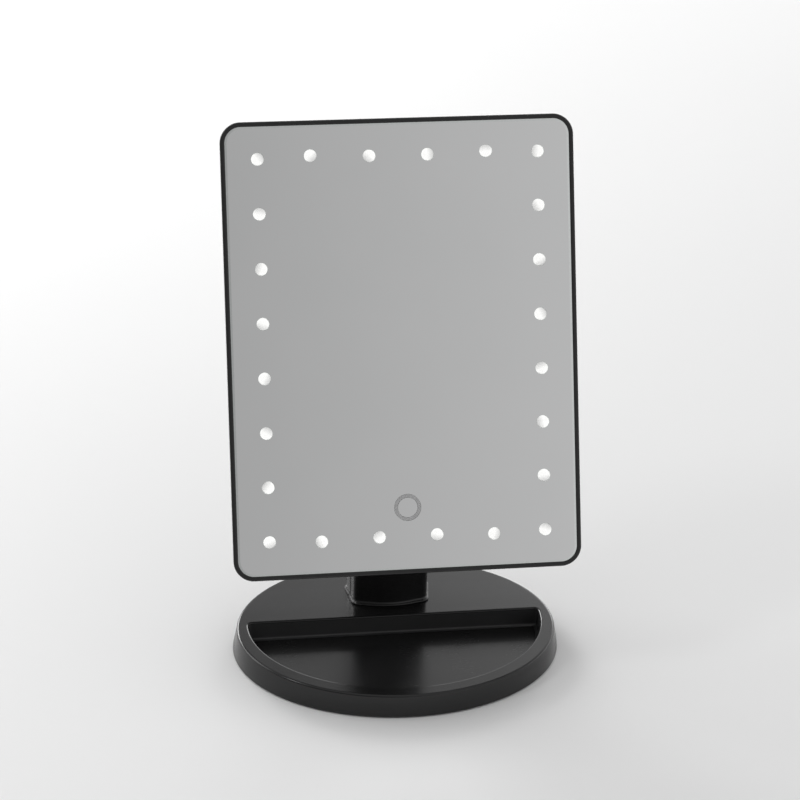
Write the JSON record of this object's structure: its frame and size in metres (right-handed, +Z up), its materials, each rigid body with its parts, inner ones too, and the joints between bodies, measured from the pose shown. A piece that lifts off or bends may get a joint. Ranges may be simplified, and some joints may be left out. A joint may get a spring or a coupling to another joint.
{
  "type": "lighted vanity mirror",
  "caption": "Rectangular table mirror with a border of small lamps and a touch switch, on a tilting hinge above an oval base with a make-up tray.",
  "frame": {"origin": "centre of the foam pad's underside, where the base rests on the table", "axes": "+Z up, the mirror faces -Y and leans back towards +Y, +X to the viewer's right"},
  "size_m": [0.1682, 0.126, 0.2639],
  "materials": {
    "black_gloss": "moulded black plastic, low gloss, fine hairline scuffs",
    "black_satin": "moulded black plastic, satin",
    "mirror_glass": "back-silvered float glass with a polished edge",
    "lamp_opal": "opal white diffuser, lit",
    "touch_print": "grey frosted ring",
    "circuit_board": "white solder resist",
    "zinc_steel": "zinc-plated screws and bolt",
    "ballast_steel": "punched mild steel plate",
    "battery_jacket": "printed metal jacket",
    "nickel": "nickel-plated strip",
    "foam_pad": "closed-cell foam sheet",
    "nylon": "natural nylon"
  },
  "bodies": {
    "base": {"base_shell": "black_gloss", "base_cover": "black_gloss", "ballast_plate": "ballast_steel", "base_pad": "foam_pad", "base_screw_1": "zinc_steel", "base_screw_2": "zinc_steel", "base_screw_3": "zinc_steel", "base_screw_4": "zinc_steel", "neck_front_shell": "black_gloss", "neck_rear_shell": "black_gloss", "neck_screw_front": "zinc_steel", "neck_screw_rear": "zinc_steel", "hinge_bolt": "zinc_steel", "hinge_nut": "zinc_steel", "friction_washer_left": "nylon", "friction_washer_right": "nylon"},
    "head": {"head_frame": "black_satin", "mirror_glass": "mirror_glass", "touch_ring": "touch_print", "lamp_lens_01": "lamp_opal", "lamp_lens_02": "lamp_opal", "lamp_lens_03": "lamp_opal", "lamp_lens_04": "lamp_opal", "lamp_lens_05": "lamp_opal", "lamp_lens_06": "lamp_opal", "lamp_lens_07": "lamp_opal", "lamp_lens_08": "lamp_opal", "lamp_lens_09": "lamp_opal", "lamp_lens_10": "lamp_opal", "lamp_lens_11": "lamp_opal", "lamp_lens_12": "lamp_opal", "lamp_lens_13": "lamp_opal", "lamp_lens_14": "lamp_opal", "lamp_lens_15": "lamp_opal", "lamp_lens_16": "lamp_opal", "lamp_lens_17": "lamp_opal", "lamp_lens_18": "lamp_opal", "lamp_lens_19": "lamp_opal", "lamp_lens_20": "lamp_opal", "lamp_lens_21": "lamp_opal", "lamp_lens_22": "lamp_opal", "lamp_lens_23": "lamp_opal", "lamp_lens_24": "lamp_opal", "lamp_board": "circuit_board", "control_board": "circuit_board", "back_shell": "black_satin", "battery_1": "battery_jacket", "battery_2": "battery_jacket", "battery_3": "battery_jacket", "battery_4": "battery_jacket", "battery_contact_lower": "nickel", "battery_contact_upper": "nickel", "head_screw_1": "zinc_steel", "head_screw_2": "zinc_steel", "head_screw_3": "zinc_steel", "head_screw_4": "zinc_steel", "usb_socket": "nickel"},
    "battery_cover": {"battery_cover": "black_satin"},
    "power_switch": {"power_switch": "black_satin"}
  },
  "joints": [
    {"name": "head_tilt", "type": "hinge", "parent": "base", "child": "head", "pos_m": [0, 0.02805, 0.13002], "axis": [-1, 0, 0], "range_deg": [-26, 67]},
    {"name": "battery_cover_release", "type": "slide", "parent": "head", "child": "battery_cover", "axis": [0, 0.9216, -0.3882], "range_m": [0, 0.03]},
    {"name": "power_switch_slide", "type": "slide", "parent": "head", "child": "power_switch", "axis": [1, 0, 0], "range_m": [0, 0.003]}
  ]
}
